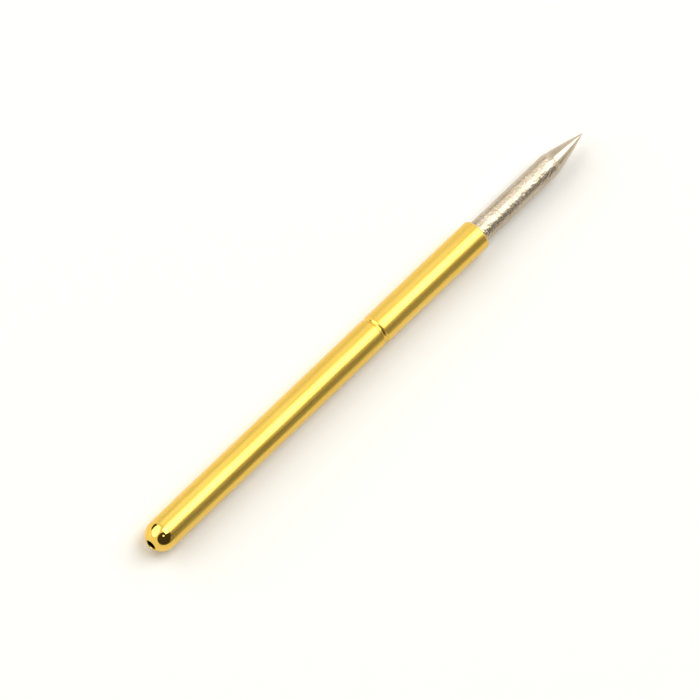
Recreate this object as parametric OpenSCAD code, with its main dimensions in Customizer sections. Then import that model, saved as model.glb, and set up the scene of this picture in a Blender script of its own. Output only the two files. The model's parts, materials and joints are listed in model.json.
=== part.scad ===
// Spring-loaded test probe (pogo pin) with a spear tip.
// It lies along +X with +Z up. The origin is the centre of the barrel's mouth:
// the plunger reaches out to +X, and the closed tail is at -X. Millimetres.

/* [Barrel] */
// Length of the barrel, from the rim of the vent hole to the mouth
barrel_length = 19.5; // [17:0.1:30]
// Outside diameter of the barrel
barrel_d = 1.36; // [1.2:0.02:2.0]
// Wall thickness of the drawn tube
wall = 0.15; // [0.12:0.01:0.2]
// Outside rounding of the rolled mouth
lip_r = 0.1; // [0.04:0.01:0.11]
// Rounding of the bore's edge in the mouth
bore_edge_r = 0.02; // [0.01:0.005:0.03]
// Diameter of the vent hole in the domed tail
vent_d = 0.44; // [0.2:0.02:0.56]
// Rounding of the vent hole's rim
vent_rim_r = 0.03; // [0.01:0.005:0.06]

/* [Roll crimp] */
// Distance of the rolled groove behind the mouth
crimp_from_mouth = 6.2; // [5:0.1:8]
// Depth that the roller pressed into the wall
crimp_depth = 0.08; // [0.06:0.01:0.12]
// Edge radius of the roller, which is the groove's own radius
crimp_r = 0.13; // [0.1:0.01:0.2]

/* [Plunger] */
// Reach of the sharp point beyond the mouth
reach = 6.5; // [4.5:0.1:9]
// Length of the spear tip, from its shoulder to the sharp point
tip_length = 2.1; // [1:0.1:3.5]
// Bulge of the tip's flank beyond a straight cone
tip_belly = 0.03; // [0.01:0.005:0.06]
// Radius that blunts the point
point_r = 0.02; // [0.01:0.005:0.04]
// Length of the tail bearing, behind the neck
bearing_length = 2; // [1:0.1:3]
// Chamfer of the turned shoulders
edge_chamfer = 0.02; // [0.01:0.005:0.03]

/* [Spring] */
// Wire diameter of the spring
wire_d = 0.16; // [0.1:0.01:0.2]
// Turns that lie closed at each end
closed_turns = 1.5; // [1:0.5:2.5]
// Gap between closed turns
closed_gap = 0.01; // [0.005:0.005:0.02]
// Gap left between turns when the plunger is pushed fully in
pressed_gap = 0.05; // [0.02:0.01:0.1]

/* [Motion and fits] */
// Full travel of the plunger
travel = 4; // [2:0.1:4.8]
// Radial clearance of the plunger in the bore
running_clearance = 0.03; // [0.015:0.005:0.04]
// Radial clearance of the neck inside the crimp
neck_clearance = 0.06; // [0.03:0.01:0.12]
// Gap between a shoulder and the crimp at each end of the travel
stop_gap = 0.02; // [0.01:0.005:0.05]
// Radial clearance round the spring
coil_clearance = 0.07; // [0.03:0.01:0.12]
// Gap at each end of the spring
seat_gap = 0.01; // [0.005:0.005:0.03]

/* [Smoothness] */
// Steps round a full circle
round_steps = 96; // [48:8:144]
// Sides of the spring's wire
coil_sides = 8; // [6:1:10]
// Steps in one turn of the spring
coil_steps = 14; // [12:1:18]

/* [Hidden] */

// The long arc of the tip's flank takes far more steps than a bore does
flank_steps = 1440;
// Margin by which a cutting shape stands past what it cuts
past = 1;

// Barrel: the wall runs at one thickness round the dome and through the crimp
barrel_r = barrel_d / 2;
bore_r = barrel_r - wall;
rim_x = vent_d / 2 + vent_rim_r;
rim_drop = sqrt(pow(barrel_r - vent_rim_r, 2) - pow(rim_x, 2));
rim_z = vent_rim_r - barrel_length;
dome_z = rim_z + rim_drop;

// Crimp: the groove outside and the bead inside share one centre
crimp_z = -crimp_from_mouth;
crimp_centre = [barrel_r + crimp_r - crimp_depth, crimp_z];
bead_r = crimp_r + wall;

// Plunger: the two shoulders of its neck meet the bead at the ends of the travel
plunger_r = bore_r - running_clearance;
neck_r = bore_r - crimp_depth - neck_clearance;
bead_half = sqrt(pow(bead_r, 2) - pow(crimp_centre.x - plunger_r, 2));
stop_offset = bead_half + stop_gap - edge_chamfer;
neck_top_z = crimp_z + stop_offset + travel;
neck_bottom_z = crimp_z - stop_offset;
bearing_end_z = neck_bottom_z - bearing_length;

// Spear tip: its flank is an arc through the shoulder and the sharp point
shoulder_z = reach - tip_length;
flank_chord = sqrt(pow(tip_length, 2) + pow(plunger_r, 2));
flank_r = pow(flank_chord, 2) / (8 * tip_belly) + tip_belly / 2;
flank_inward = [-tip_length, -plunger_r] / flank_chord;
flank_centre = [plunger_r / 2, shoulder_z + tip_length / 2] + (flank_r - tip_belly) * flank_inward;
point_z = flank_centre.y + sqrt(pow(flank_r - point_r, 2) - pow(flank_centre.x, 2));
point_share = flank_r / (flank_r - point_r);
flank_end_z = flank_centre.y + (point_z - flank_centre.y) * point_share;

// Spring: it sits in the dome and presses on the bearing's end
wire_r = wire_d / 2;
coil_r = bore_r - coil_clearance - wire_r;
coil_bottom_z = dome_z - sqrt(pow(bore_r - wire_r - seat_gap, 2) - pow(coil_r, 2));
coil_top_z = bearing_end_z - wire_r - seat_gap;
coil_length = coil_top_z - coil_bottom_z;
turns = floor((coil_length - travel) / (wire_d + pressed_gap));
closed_pitch = wire_d + closed_gap;
closed_rise = closed_turns * closed_pitch;
open_pitch = (coil_length - 2 * closed_rise) / (turns - 2 * closed_turns);

// Height of the wire's centre above the spring's lower end, after some turns
function coil_rise(t) =
    t < closed_turns ? t * closed_pitch
    : t > turns - closed_turns ? coil_length - (turns - t) * closed_pitch
    : closed_rise + (t - closed_turns) * open_pitch;

// Turns a shape built along +Z to lie along +X
module along_x() {
    rotate([0, 90, 0]) children();
}

// Keeps the half of a section that a revolve needs
module right_half() {
    intersection() {
        children();
        translate([0, -2 * barrel_length]) square([4 * barrel_r, 4 * barrel_length]);
    }
}

// Rounds a square corner of a section; inward points from the corner into the metal
module rounded(corner, r, inward) {
    centre = corner + r * inward;
    reach_out = -1.5 * r * inward;
    difference() {
        children();
        difference() {
            polygon([
                centre,
                centre + [reach_out.x, 0],
                centre + reach_out,
                centre + [0, reach_out.y]
            ]);
            translate(centre) circle(r = r, $fn = round_steps);
        }
    }
}

// Half section of the domed tail. The cut at the vent hole ends on the line from the
// dome's centre through the rim's centre, so the rounded rim runs smoothly into the dome
module dome_section() {
    rim_edge = [rim_x, rim_z] + 2 * vent_rim_r * [rim_x, -rim_drop] / (barrel_r - vent_rim_r);
    difference() {
        translate([0, dome_z]) circle(r = barrel_r, $fn = round_steps);
        translate([0, dome_z]) circle(r = bore_r, $fn = round_steps);
        translate([0, dome_z]) square([2 * barrel_r, 2 * barrel_r]);
        translate([0, dome_z - 2 * barrel_r]) square([vent_d / 2, 4 * barrel_r]);
        polygon([[0, rim_z], [rim_x, rim_z], rim_edge, [rim_edge.x, rim_z - past], [0, rim_z - past]]);
    }
    translate([rim_x, rim_z]) circle(r = vent_rim_r, $fn = round_steps);
}

// Half section of the straight wall, with the rolled lip and the crimp
module wall_section() {
    difference() {
        union() {
            rounded([barrel_r, 0], lip_r, [-1, -1])
                rounded([bore_r, 0], bore_edge_r, [1, -1])
                    translate([bore_r, dome_z]) square([wall, -dome_z]);
            intersection() {
                translate(crimp_centre) circle(r = bead_r, $fn = round_steps);
                translate([0, crimp_z - bead_r]) square([barrel_r - wall / 2, 2 * bead_r]);
            }
        }
        translate(crimp_centre) circle(r = crimp_r, $fn = round_steps);
    }
}

// One drawn tube: domed tail, roll crimp and rolled mouth
module barrel() {
    color("goldenrod")
        along_x() rotate_extrude($fn = round_steps) right_half() {
            dome_section();
            wall_section();
        }
}

// Half section of the plunger: the flank's arc cuts the spear tip from the full shank,
// and a small circle that the flank touches makes the point
module plunger_section() {
    chamfered_r = plunger_r - edge_chamfer;
    intersection() {
        polygon([
            [0, bearing_end_z],
            [chamfered_r, bearing_end_z],
            [plunger_r, bearing_end_z + edge_chamfer],
            [plunger_r, neck_bottom_z - edge_chamfer],
            [chamfered_r, neck_bottom_z],
            [neck_r, neck_bottom_z],
            [neck_r, neck_top_z],
            [chamfered_r, neck_top_z],
            [plunger_r, neck_top_z + edge_chamfer],
            [plunger_r, flank_end_z],
            [0, flank_end_z]
        ]);
        union() {
            translate(flank_centre) circle(r = flank_r, $fn = flank_steps);
            translate([0, bearing_end_z - past]) square([2 * plunger_r, past - bearing_end_z]);
        }
    }
    translate([0, point_z]) circle(r = point_r, $fn = round_steps);
}

// One turned pin: spear tip, head, neck through the crimp and tail bearing
module plunger() {
    color("silver")
        along_x() rotate_extrude($fn = round_steps) right_half() plunger_section();
}

// A compression spring swept along its helix, with closed ends
module spring() {
    rings = ceil(turns * coil_steps);
    points = [
        for (i = [0 : rings])
            let (t = turns * i / rings, turned = 360 * t, height = coil_bottom_z + coil_rise(t))
                for (j = [0 : coil_sides - 1])
                    let (around = 360 * j / coil_sides, out = coil_r + wire_r * cos(around))
                        [out * cos(turned), out * sin(turned), height + wire_r * sin(around)]
    ];
    skin = [
        for (i = [0 : rings - 1], j = [0 : coil_sides - 1])
            let (a = i * coil_sides, b = a + coil_sides, k = (j + 1) % coil_sides)
                each [[a + j, a + k, b + k], [a + j, b + k, b + j]]
    ];
    first_cap = [[for (j = [0 : coil_sides - 1]) coil_sides - 1 - j]];
    last_cap = [[for (j = [0 : coil_sides - 1]) rings * coil_sides + j]];
    color("gainsboro")
        along_x() polyhedron(points, concat(skin, first_cap, last_cap));
}

barrel();
plunger();
spring();
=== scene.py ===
"""Looks of a spring-loaded test probe (pogo pin) with a spear tip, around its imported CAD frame.

The row frame: the pin lies along +X, its origin is the centre of the barrel's mouth, +Z is up.
Each piece is a finely divided turned or coiled mesh on the CAD node's own section, and rides on
the body that the node belongs to. Lengths are in metres.
"""
import json
import math

import bpy
from mathutils import Matrix, Vector


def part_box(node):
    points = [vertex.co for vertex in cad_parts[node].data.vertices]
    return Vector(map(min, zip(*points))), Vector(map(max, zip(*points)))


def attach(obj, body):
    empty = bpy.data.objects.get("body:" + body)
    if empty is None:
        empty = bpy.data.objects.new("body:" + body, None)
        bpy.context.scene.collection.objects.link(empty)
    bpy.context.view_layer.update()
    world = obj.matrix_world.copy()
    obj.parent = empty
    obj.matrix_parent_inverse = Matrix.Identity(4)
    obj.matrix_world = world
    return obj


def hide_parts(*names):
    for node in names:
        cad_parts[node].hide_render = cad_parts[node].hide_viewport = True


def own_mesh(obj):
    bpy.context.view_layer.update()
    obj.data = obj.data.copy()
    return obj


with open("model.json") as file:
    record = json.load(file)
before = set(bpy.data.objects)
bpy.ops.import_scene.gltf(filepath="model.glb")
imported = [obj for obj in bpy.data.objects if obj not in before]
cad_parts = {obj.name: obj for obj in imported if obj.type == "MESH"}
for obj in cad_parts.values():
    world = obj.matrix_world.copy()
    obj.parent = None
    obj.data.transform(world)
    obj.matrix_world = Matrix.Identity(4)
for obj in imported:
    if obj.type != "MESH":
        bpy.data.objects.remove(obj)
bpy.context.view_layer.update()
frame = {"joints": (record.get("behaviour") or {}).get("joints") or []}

MM = 0.001

# The places that the frame gives
BARREL_LOW, BARREL_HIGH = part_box("barrel")
PLUNGER_LOW, PLUNGER_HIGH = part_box("plunger")
SPRING_LOW, SPRING_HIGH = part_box("spring")
TAIL_X = BARREL_LOW.x
MOUTH_X = BARREL_HIGH.x
BARREL_R = BARREL_HIGH.z
PLUNGER_R = PLUNGER_HIGH.z
COIL_OUTER_R = SPRING_HIGH.z
FLOOR_Z = BARREL_LOW.z
TRAVEL = frame["joints"][0]["range_m"][1]

# The barrel's section, which the frame doesn't carry
WALL = 0.15 * MM
BORE_R = BARREL_R - WALL
LIP_R = 0.10 * MM
BORE_EDGE_R = 0.02 * MM
VENT_R = 0.22 * MM
VENT_RIM_R = 0.03 * MM
CRIMP_FROM_MOUTH = 6.2 * MM
CRIMP_X = MOUTH_X - CRIMP_FROM_MOUTH
CRIMP_R = 0.13 * MM
CRIMP_DEPTH = 0.08 * MM
BEAD_R = CRIMP_R + BARREL_R - BORE_R
CRIMP_CENTRE_R = BARREL_R + CRIMP_R - CRIMP_DEPTH

# The plunger's section
TIP_LENGTH = 2.1 * MM
TIP_BELLY = 0.03 * MM
POINT_R = 0.02 * MM
REACH = 6.5 * MM
SHARP_X = MOUTH_X + REACH
SHOULDER_X = SHARP_X - TIP_LENGTH
NECK_CLEARANCE = 0.06 * MM
NECK_R = BORE_R - CRIMP_DEPTH - NECK_CLEARANCE
EDGE_CHAMFER = 0.02 * MM
STOP_GAP = 0.02 * MM

# The spring
WIRE_R = 0.08 * MM
SPRING_TURNS = 31
CLOSED_TURNS = 1.5
CLOSED_PITCH = 0.17 * MM

# How finely the pieces are divided: round the axis, round the wire and along it, and along
# each part of the two sections
AROUND = 160
WIRE_AROUND = 12
STEPS_PER_TURN = 32
BARREL_STEPS = {"vent rim": 10, "dome": 36, "tube": 40, "groove": 16, "front": 20, "lip": 12,
                "bore edge": 6, "front bore": 12, "bead": 16, "bore": 20, "inner dome": 24,
                "vent": 3}
PLUNGER_STEPS = {"bearing": 8, "neck": 12, "head": 60, "flank": 48, "point": 8}
CREASE_ANGLE = math.radians(28)

# A noise stays near its middle, so a part of its range is taken for the whole. Each noise
# below is its scale, its detail and a factor on each axis, where a small one draws it out.
NOISE_RANGE = (0.3, 0.7)
NOISE_MIDDLE = (0.35, 0.65)

# Gold plate: how far the tail is burnished before it turns satin, and its looks
GOLD = (0.87, 0.58, 0.112, 1)
GOLD_DEEPER = (0.83, 0.55, 0.098, 1)
BURNISHED_ROUGHNESS = 0.06
SATIN_ROUGHNESS = (0.24, 0.32)
BURNISHED_LENGTH = 0.66 * MM
SATIN_STARTS = TAIL_X + BURNISHED_LENGTH - 0.05 * MM
SATIN_FULL = TAIL_X + BURNISHED_LENGTH + 0.12 * MM
GOLD_LINES = (9000, 3.0, (0.03, 1, 1))
GOLD_GRAIN = (30000, 2.0, (1, 1, 1))
GOLD_TINT = (900, 3.0, (0.3, 1, 1))
GRAIN_SHARE = 0.3
GOLD_RELIEF = 0.00035 * MM

# Nickel plate: where the turned shank ends at the ground tip, and its looks
NICKEL = (0.59, 0.50, 0.375, 1)
NICKEL_DEEPER = (0.50, 0.415, 0.30, 1)
TIP_ROUGHNESS = 0.18
SHANK_ROUGHNESS = 0.27
TURNING_FADES = SHOULDER_X - 0.05 * MM
TURNING_ENDS = SHOULDER_X + 0.25 * MM
NICKEL_RINGS = (22000, 2.0, (1, 0.2, 0.2))
NICKEL_CHATTER = (12000, 1.0, (1, 0.8, 0.8))
NICKEL_TINT = (1800, 3.0, (1, 1, 1))
CHATTER_SHARE = 1.2
NICKEL_RELIEF = 0.021 * MM

# Spring wire
WIRE = (0.62, 0.60, 0.57, 1)
WIRE_DEEPER = (0.52, 0.50, 0.47, 1)
WIRE_ROUGHNESS = (0.2, 0.34)
WIRE_MARKS = (20000, 3.0, (1, 1, 1))
WIRE_RELIEF = 0.0006 * MM

# The camera: the direction to it, and where it looks, measured from the centre of the mouth.
# It is turned about the pin's own axis towards overhead, which rolls the picture: the pin is
# round, so that turn shows only in its reflections and its shadow.
CAMERA_AZIMUTH = math.radians(-47.99)
CAMERA_ELEVATION = math.radians(59.17)
CAMERA_TURN = math.radians(17.8)
CAMERA_DISTANCE = 0.4
CAMERA_LENS = 508.3
SENSOR_WIDTH = 36
CLIP_START = 0.01
CLIP_END = 20
AIM_RIGHT = -5.139 * MM
AIM_UP = -4.695 * MM

# The table: its half size, the colour for diffuse rays, and the one that the camera and
# metal see
TABLE_REACH = 4.0
TABLE = (0.92, 0.92, 0.92, 1)
TABLE_SEEN = (0.97, 0.98, 1.0, 1)
TABLE_ROUGHNESS = 0.6

# The white tent. Metal sees openings in it: direction, radius and half the width of the soft
# edge in degrees, and how dark. The photographer stands in the first, which opens into a dim
# room, the second. The third is a gap at the far edge of the table.
WHITE = (1, 1, 1, 1)
OPENING_COLOUR = (0.06, 0.055, 0.05, 1)
OPENINGS = [((-0.38, -0.60, 0.70), 46, 3, 1.0),
            ((0.22, -0.94, 0.22), 31, 8, 0.72),
            ((-0.04, 0.98, 0.16), 19, 4, 1.0)]
FILL_COLOUR = (1, 0.87, 0.58, 1)
FILL = 0.26

# The lamps: name, direction, half-angles that the pin sees in degrees, radiance and shape
LAMPS = [("overhead", (0.50, -0.05, 0.86), (27, 20), 2.9, "RECTANGLE"),
         ("key", (-0.40, 0.70, 0.60), (38, 25), 2.1, "ELLIPSE"),
         ("beside_camera", (-0.28, -0.30, 0.91), (6, 5), 3.0, "ELLIPSE")]
LAMP_COLOUR = (1, 0.99, 0.97)
LAMP_DISTANCE = 0.6
LAMP_AIM = Vector((-6 * MM, 0, 0))


# ---------------------------------------------------------------- meshes

def arc(centre, radius, start, end, steps):
    """Points (x, r) on an arc; angles in degrees, from +x towards +r, the start left out."""
    points = []
    for i in range(1, steps + 1):
        angle = math.radians(start + (end - start) * i / steps)
        points.append((centre[0] + radius * math.cos(angle),
                       centre[1] + radius * math.sin(angle)))
    return points


def stretch(a, b, steps):
    """Evenly spaced points from a to b, a left out."""
    return [(a[0] + (b[0] - a[0]) * i / steps, a[1] + (b[1] - a[1]) * i / steps)
            for i in range(1, steps + 1)]


def turned(name, profile, closed):
    """Revolves (x, r) points about the X axis. An open profile starts and ends on the axis."""
    rings = profile if closed else profile[1:-1]
    verts, faces = [], []
    for x, r in rings:
        for k in range(AROUND):
            angle = 2 * math.pi * k / AROUND
            verts.append((x, r * math.cos(angle), r * math.sin(angle)))
    for i in range(len(rings) if closed else len(rings) - 1):
        a, b = i * AROUND, (i + 1) % len(rings) * AROUND
        for k in range(AROUND):
            n = (k + 1) % AROUND
            faces.append((a + k, a + n, b + n, b + k))
    if not closed:
        verts += [(profile[0][0], 0, 0), (profile[-1][0], 0, 0)]
        first, last, end = len(verts) - 2, len(verts) - 1, (len(rings) - 1) * AROUND
        for k in range(AROUND):
            n = (k + 1) % AROUND
            faces.append((first, n, k))
            faces.append((last, end + k, end + n))
    return finished(name, verts, faces)


def finished(name, verts, faces):
    """A smooth-shaded object with its creases kept."""
    mesh = bpy.data.meshes.new(name)
    mesh.from_pydata(verts, [], faces)
    mesh.validate()
    mesh.shade_smooth()
    mesh.set_sharp_from_angle(angle=CREASE_ANGLE)
    piece = bpy.data.objects.new(name, mesh)
    bpy.context.scene.collection.objects.link(piece)
    return piece


def barrel_profile():
    """The drawn tube's section, once round: outside from tail to mouth, inside back again."""
    steps = BARREL_STEPS
    rim_r = VENT_R + VENT_RIM_R
    rim_x = TAIL_X + VENT_RIM_R
    dome_x = rim_x + math.sqrt((BARREL_R - VENT_RIM_R) ** 2 - rim_r ** 2)
    rim_angle = 180 - math.degrees(math.asin(rim_r / (BARREL_R - VENT_RIM_R)))
    groove_angle = math.degrees(math.acos((CRIMP_CENTRE_R - BARREL_R) / CRIMP_R))
    bead_angle = math.degrees(math.acos((CRIMP_CENTRE_R - BORE_R) / BEAD_R))
    groove_half = CRIMP_R * math.sin(math.radians(groove_angle))
    bead_half = BEAD_R * math.sin(math.radians(bead_angle))
    vent_x = dome_x - math.sqrt(BORE_R ** 2 - VENT_R ** 2)
    vent_angle = 180 - math.degrees(math.asin(VENT_R / BORE_R))
    crimp_centre = (CRIMP_X, CRIMP_CENTRE_R)
    lip_x = MOUTH_X - LIP_R
    bore_edge_x = MOUTH_X - BORE_EDGE_R
    bore_edge_r = BORE_R + BORE_EDGE_R
    points = arc((rim_x, rim_r), VENT_RIM_R, 270, rim_angle, steps["vent rim"])
    points += arc((dome_x, 0), BARREL_R, rim_angle, 90, steps["dome"])
    points += stretch((dome_x, BARREL_R), (CRIMP_X - groove_half, BARREL_R), steps["tube"])
    points += arc(crimp_centre, CRIMP_R, 270 - groove_angle, 270 + groove_angle, steps["groove"])
    points += stretch((CRIMP_X + groove_half, BARREL_R), (lip_x, BARREL_R), steps["front"])
    points += arc((lip_x, BARREL_R - LIP_R), LIP_R, 90, 0, steps["lip"])
    points.append((MOUTH_X, bore_edge_r))
    points += arc((bore_edge_x, bore_edge_r), BORE_EDGE_R, 0, -90, steps["bore edge"])
    points += stretch((bore_edge_x, BORE_R), (CRIMP_X + bead_half, BORE_R), steps["front bore"])
    points += arc(crimp_centre, BEAD_R, 270 + bead_angle, 270 - bead_angle, steps["bead"])
    points += stretch((CRIMP_X - bead_half, BORE_R), (dome_x, BORE_R), steps["bore"])
    points += arc((dome_x, 0), BORE_R, 90, vent_angle, steps["inner dome"])
    points += stretch((vent_x, VENT_R), (rim_x, VENT_R), steps["vent"])
    return points


def plunger_profile():
    """The turned pin's section, from the bearing's end on the axis to the point on the axis."""
    steps = PLUNGER_STEPS
    bead_half = math.sqrt(BEAD_R ** 2 - (CRIMP_CENTRE_R - PLUNGER_R) ** 2)
    stop = bead_half + STOP_GAP - EDGE_CHAMFER
    neck_back, neck_front = CRIMP_X - stop, CRIMP_X + stop + TRAVEL
    edge_r = PLUNGER_R - EDGE_CHAMFER
    chord = math.hypot(TIP_LENGTH, PLUNGER_R)
    flank_r = chord ** 2 / (8 * TIP_BELLY) + TIP_BELLY / 2
    inward = (-PLUNGER_R / chord, -TIP_LENGTH / chord)
    flank = (SHOULDER_X + TIP_LENGTH / 2 + (flank_r - TIP_BELLY) * inward[0],
             PLUNGER_R / 2 + (flank_r - TIP_BELLY) * inward[1])
    point_x = flank[0] + math.sqrt((flank_r - POINT_R) ** 2 - flank[1] ** 2)
    shoulder_angle = math.degrees(math.atan2(PLUNGER_R - flank[1], SHOULDER_X - flank[0]))
    point_angle = math.degrees(math.atan2(-flank[1], point_x - flank[0]))
    points = [(PLUNGER_LOW.x, 0), (PLUNGER_LOW.x, edge_r),
              (PLUNGER_LOW.x + EDGE_CHAMFER, PLUNGER_R)]
    points += stretch(points[-1], (neck_back - EDGE_CHAMFER, PLUNGER_R), steps["bearing"])
    points += [(neck_back, edge_r), (neck_back, NECK_R)]
    points += stretch((neck_back, NECK_R), (neck_front, NECK_R), steps["neck"])
    points += [(neck_front, edge_r), (neck_front + EDGE_CHAMFER, PLUNGER_R)]
    points += stretch(points[-1], (SHOULDER_X, PLUNGER_R), steps["head"])
    points += arc(flank, flank_r, shoulder_angle, point_angle, steps["flank"])
    points += arc((point_x, 0), POINT_R, point_angle, 0, steps["point"])
    return points


def coil_mesh():
    """The compression spring, swept along its helix with closed ends."""
    low, high = SPRING_LOW.x + WIRE_R, SPRING_HIGH.x - WIRE_R
    coil_r = COIL_OUTER_R - WIRE_R
    closed_rise = CLOSED_TURNS * CLOSED_PITCH
    open_pitch = (high - low - 2 * closed_rise) / (SPRING_TURNS - 2 * CLOSED_TURNS)
    verts, faces = [], []
    rings = SPRING_TURNS * STEPS_PER_TURN
    for i in range(rings + 1):
        turn = SPRING_TURNS * i / rings
        if turn < CLOSED_TURNS:
            x = low + turn * CLOSED_PITCH
        elif turn > SPRING_TURNS - CLOSED_TURNS:
            x = high - (SPRING_TURNS - turn) * CLOSED_PITCH
        else:
            x = low + closed_rise + (turn - CLOSED_TURNS) * open_pitch
        angle = 2 * math.pi * turn
        for j in range(WIRE_AROUND):
            side = 2 * math.pi * j / WIRE_AROUND
            out = coil_r + WIRE_R * math.cos(side)
            verts.append((x + WIRE_R * math.sin(side), out * math.sin(angle),
                          -out * math.cos(angle)))
    for i in range(rings):
        a, b = i * WIRE_AROUND, (i + 1) * WIRE_AROUND
        for j in range(WIRE_AROUND):
            k = (j + 1) % WIRE_AROUND
            faces.append((a + j, a + k, b + k, b + j))
    faces.append(tuple(range(WIRE_AROUND))[::-1])
    faces.append(tuple(rings * WIRE_AROUND + j for j in range(WIRE_AROUND)))
    return finished("coil_spring", verts, faces)


# ---------------------------------------------------------------- node trees

class Nodes:
    """A node tree, with short ways to add nodes and join them."""

    def __init__(self, tree):
        self.tree = tree

    def add(self, kind, **values):
        node = self.tree.nodes.new(kind)
        for key, value in values.items():
            setattr(node, key, value)
        return node

    def join(self, source, target):
        self.tree.links.new(source, target)

    def put(self, value, socket):
        if isinstance(value, bpy.types.NodeSocket):
            self.join(value, socket)
        else:
            socket.default_value = value

    def maths(self, operation, a, b=0.0, c=0.0):
        node = self.add("ShaderNodeMath", operation=operation)
        for value, socket in zip((a, b, c), node.inputs):
            self.put(value, socket)
        return node.outputs[0]

    def ranged(self, value, low, high, to_low=0.0, to_high=1.0, smooth=True):
        node = self.add("ShaderNodeMapRange")
        node.interpolation_type = "SMOOTHSTEP" if smooth else "LINEAR"
        for key, number in (("Value", value), ("From Min", low), ("From Max", high),
                            ("To Min", to_low), ("To Max", to_high)):
            self.put(number, node.inputs[key])
        return node.outputs["Result"]

    def blend(self, factor, a, b):
        node = self.add("ShaderNodeMix", data_type="RGBA")
        colours = [s for s in node.inputs if s.type == "RGBA"]
        self.put(factor, node.inputs["Factor"])
        self.put(a, colours[0])
        self.put(b, colours[1])
        return [s for s in node.outputs if s.type == "RGBA"][0]

    def background(self, colour, strength):
        node = self.add("ShaderNodeBackground")
        self.put(colour, node.inputs["Color"])
        node.inputs["Strength"].default_value = strength
        return node.outputs[0]

    def choose(self, factor, if_not, if_so):
        node = self.add("ShaderNodeMixShader")
        for value, socket in zip((factor, if_not, if_so), node.inputs):
            self.join(value, socket)
        return node.outputs[0]


class Material(Nodes):
    """A material round one shader, with textures placed by the object's own coordinates."""

    def __init__(self, name):
        self.material = bpy.data.materials.new(name)
        self.material.use_nodes = True
        super().__init__(self.material.node_tree)
        self.shader = self.tree.nodes["Principled BSDF"]
        self.place = self.add("ShaderNodeTexCoord").outputs["Object"]

    def along_pin(self):
        node = self.add("ShaderNodeSeparateXYZ")
        self.join(self.place, node.inputs[0])
        return node.outputs["X"]

    def noise(self, scale, detail, stretch_by):
        mapping = self.add("ShaderNodeMapping")
        mapping.inputs["Scale"].default_value = stretch_by
        self.join(self.place, mapping.inputs["Vector"])
        node = self.add("ShaderNodeTexNoise")
        node.inputs["Scale"].default_value = scale
        node.inputs["Detail"].default_value = detail
        self.join(mapping.outputs["Vector"], node.inputs["Vector"])
        return node.outputs["Fac"]

    def metal(self, colour, roughness, height, relief):
        """Finishes a metal; relief is the depth that a height of 1 stands for."""
        bump = self.add("ShaderNodeBump")
        bump.inputs["Distance"].default_value = relief
        bump.inputs["Strength"].default_value = 1.0
        self.join(height, bump.inputs["Height"])
        self.join(colour, self.shader.inputs["Base Color"])
        self.shader.inputs["Metallic"].default_value = 1.0
        self.join(roughness, self.shader.inputs["Roughness"])
        self.join(bump.outputs["Normal"], self.shader.inputs["Normal"])
        return self.material


# ---------------------------------------------------------------- materials

def gold_material():
    """Gold plate on a drawn tube: satin with fine lines along it, burnished on the dome."""
    n = Material("gold_plate")
    lines = n.noise(*GOLD_LINES)
    satin = n.ranged(n.along_pin(), SATIN_STARTS, SATIN_FULL)
    colour = n.blend(n.ranged(n.noise(*GOLD_TINT), *NOISE_MIDDLE), GOLD, GOLD_DEEPER)
    satin_rough = n.ranged(lines, *NOISE_RANGE, *SATIN_ROUGHNESS)
    rougher_by = n.maths("SUBTRACT", satin_rough, BURNISHED_ROUGHNESS)
    rough = n.maths("MULTIPLY_ADD", rougher_by, satin, BURNISHED_ROUGHNESS)
    grainy = n.maths("MULTIPLY_ADD", n.noise(*GOLD_GRAIN), GRAIN_SHARE, lines)
    return n.metal(colour, rough, n.maths("MULTIPLY", grainy, satin), GOLD_RELIEF)


def nickel_material():
    """Nickel plate on a turned pin: rings from the tool on the shank, a ground bright tip."""
    n = Material("nickel_plate")
    shank = n.ranged(n.along_pin(), TURNING_FADES, TURNING_ENDS, 1.0, 0.0)
    colour = n.blend(n.ranged(n.noise(*NICKEL_TINT), *NOISE_RANGE), NICKEL, NICKEL_DEEPER)
    rough = n.ranged(shank, 0, 1, TIP_ROUGHNESS, SHANK_ROUGHNESS, smooth=False)
    chatter = n.noise(*NICKEL_CHATTER)
    turning = n.maths("MULTIPLY_ADD", chatter, CHATTER_SHARE, n.noise(*NICKEL_RINGS))
    return n.metal(colour, rough, n.maths("MULTIPLY", turning, shank), NICKEL_RELIEF)


def wire_material():
    """Drawn spring wire, with faint marks from the die."""
    n = Material("spring_wire")
    marks = n.noise(*WIRE_MARKS)
    colour = n.blend(n.ranged(marks, *NOISE_MIDDLE), WIRE, WIRE_DEEPER)
    return n.metal(colour, n.ranged(marks, *NOISE_RANGE, *WIRE_ROUGHNESS), marks, WIRE_RELIEF)


# ---------------------------------------------------------------- the object

def place(piece, material, node, body):
    piece.data.materials.append(material)
    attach(piece, body)
    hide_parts(node)


def build_object():
    barrel = turned("barrel_tube", barrel_profile(), closed=True)
    place(barrel, gold_material(), "barrel", "held_barrel")
    plunger = turned("plunger_pin", plunger_profile(), closed=False)
    place(plunger, nickel_material(), "plunger", "sliding_plunger")
    spring = coil_mesh()
    place(spring, wire_material(), "spring", "held_barrel")
    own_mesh(spring)


# ---------------------------------------------------------------- the stage

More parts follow.
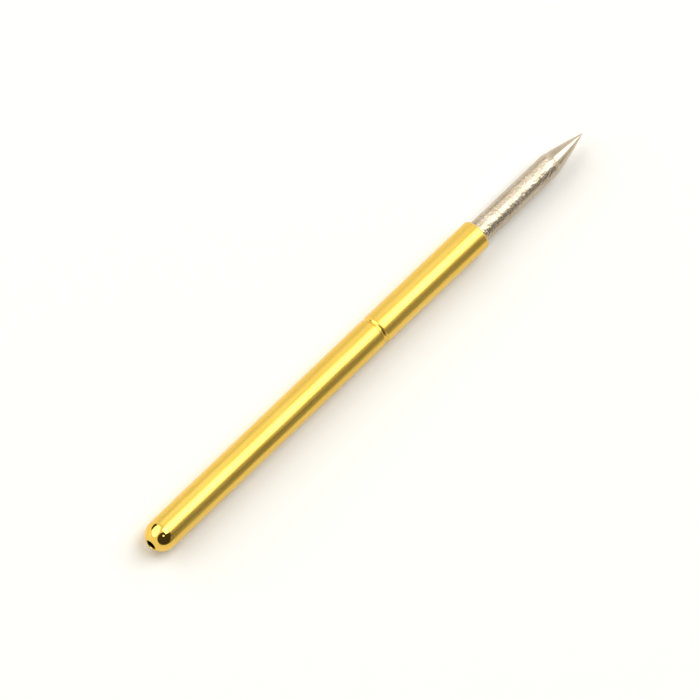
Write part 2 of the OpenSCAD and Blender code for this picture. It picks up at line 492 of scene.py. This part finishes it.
def build_camera():
    a, e = CAMERA_AZIMUTH, CAMERA_ELEVATION
    turn = Matrix.Rotation(-CAMERA_TURN, 3, "X")
    back = turn @ Vector((math.sin(a) * math.cos(e), -math.cos(a) * math.cos(e), math.sin(e)))
    right = turn @ Vector((math.cos(a), math.sin(a), 0))
    up = back.cross(right)
    aim = Vector((MOUTH_X, 0, 0)) + right * AIM_RIGHT + up * AIM_UP
    data = bpy.data.cameras.new("camera")
    data.lens = CAMERA_LENS
    data.sensor_width = SENSOR_WIDTH
    data.clip_start = CLIP_START
    data.clip_end = CLIP_END
    camera = bpy.data.objects.new("camera", data)
    bpy.context.scene.collection.objects.link(camera)
    camera.location = aim + back * CAMERA_DISTANCE
    camera.rotation_mode = "QUATERNION"
    camera.rotation_quaternion = Matrix((right, up, back)).transposed().to_quaternion()
    bpy.context.scene.camera = camera


def build_floor():
    """A pale table. The camera and metal see it nearly white, and it keeps the shadow."""
    corners = ((-1, -1), (1, -1), (1, 1), (-1, 1))
    mesh = bpy.data.meshes.new("table")
    mesh.from_pydata([(x * TABLE_REACH, y * TABLE_REACH, FLOOR_Z) for x, y in corners], [],
                     [(0, 1, 2, 3)])
    floor = bpy.data.objects.new("table", mesh)
    bpy.context.scene.collection.objects.link(floor)
    n = Material("table_white")
    path = n.add("ShaderNodeLightPath")
    seen = n.maths("MAXIMUM", path.outputs["Is Camera Ray"], path.outputs["Is Glossy Ray"])
    seen = n.maths("MAXIMUM", seen, path.outputs["Is Transmission Ray"])
    n.join(n.blend(seen, TABLE, TABLE_SEEN), n.shader.inputs["Base Color"])
    n.shader.inputs["Roughness"].default_value = TABLE_ROUGHNESS
    floor.data.materials.append(n.material)


def build_world():
    """A white tent with dark openings for metal, a lower warm fill for diffuse surfaces, and
    plain white for the camera."""
    world = bpy.data.worlds.new("studio")
    bpy.context.scene.world = world
    world.use_nodes = True
    n = Nodes(world.node_tree)
    n.tree.nodes.clear()
    direction = n.add("ShaderNodeTexCoord").outputs["Generated"]
    dark = 0.0
    for centre, radius, edge, depth in OPENINGS:
        dot = n.add("ShaderNodeVectorMath", operation="DOT_PRODUCT")
        n.join(direction, dot.inputs[0])
        dot.inputs[1].default_value = Vector(centre).normalized()
        opening = n.ranged(dot.outputs["Value"], math.cos(math.radians(radius + edge)),
                           math.cos(math.radians(radius - edge)))
        dark = n.maths("MAXIMUM", n.maths("MULTIPLY", opening, depth), dark)
    tent = n.background(n.blend(dark, WHITE, OPENING_COLOUR), 1.0)
    path = n.add("ShaderNodeLightPath")
    metal = n.maths("MAXIMUM", path.outputs["Is Glossy Ray"], path.outputs["Is Transmission Ray"])
    unseen = n.choose(metal, n.background(FILL_COLOUR, FILL), tent)
    whole = n.choose(path.outputs["Is Camera Ray"], unseen, n.background(WHITE, 1.0))
    n.join(whole, n.add("ShaderNodeOutputWorld").inputs["Surface"])


def softbox(name, direction, half_angles, radiance, shape):
    """An area lamp that faces the pin; its size and power follow from what the pin sees."""
    data = bpy.data.lights.new(name, "AREA")
    data.shape = shape
    data.size, data.size_y = (2 * LAMP_DISTANCE * math.tan(math.radians(a)) for a in half_angles)
    area = data.size * data.size_y * (math.pi / 4 if shape == "ELLIPSE" else 1)
    data.energy = radiance * math.pi * area
    data.color = LAMP_COLOUR
    lamp = bpy.data.objects.new(name, data)
    bpy.context.scene.collection.objects.link(lamp)
    back = Vector(direction).normalized()
    along = (Vector((1, 0, 0)) - back * back.x).normalized()
    facing = Matrix((along, back.cross(along), back)).transposed()
    lamp.location = LAMP_AIM + back * LAMP_DISTANCE
    lamp.rotation_mode = "QUATERNION"
    lamp.rotation_quaternion = facing.to_quaternion()


build_object()
build_camera()
build_floor()
build_world()
for lamp_values in LAMPS:
    softbox(*lamp_values)
bpy.context.scene.view_settings.view_transform = "Standard"
